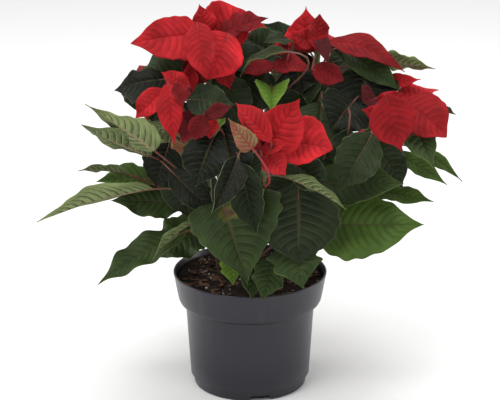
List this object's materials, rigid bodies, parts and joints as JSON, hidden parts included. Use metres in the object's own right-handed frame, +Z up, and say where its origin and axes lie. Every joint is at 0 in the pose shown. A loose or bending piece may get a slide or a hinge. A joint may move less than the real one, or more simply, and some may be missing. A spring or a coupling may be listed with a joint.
{
  "type": "potted poinsettia",
  "caption": "Bushy red poinsettia with pointed bracts over dark green lobed leaves, growing in a tapered plastic nursery pot with a wide rim band, filled with potting mix.",
  "frame": {"origin": "middle of the pot's foot, on the surface it stands on", "axes": "+Z up along the pot's axis; -Y towards the side with the lowest bract head, +X to that viewer's right"},
  "size_m": [0.3517, 0.2953, 0.332],
  "materials": {
    "pot": "satin",
    "soil": "rough",
    "leaf": "satin",
    "bract": "velvety matte",
    "bud": "satin"
  },
  "bodies": {
    "root": {"pot": "pot", "soil": "soil", "leafy_stem_left": "leaf", "leafy_stem_front": "leaf", "leafy_stem_right": "leaf", "leafy_stem_back": "leaf", "bracts_top_left": "bract", "buds_top_left": "bud", "bracts_left": "bract", "buds_left": "bud", "bracts_centre_left": "bract", "buds_centre_left": "bud", "bracts_front": "bract", "buds_front": "bud", "bracts_centre": "bract", "buds_centre": "bud", "bracts_top_right": "bract", "buds_top_right": "bud", "bracts_right": "bract", "buds_right": "bud", "bracts_back_left": "bract", "buds_back_left": "bud", "bracts_back_right": "bract", "buds_back_right": "bud"}
  },
  "joints": []
}
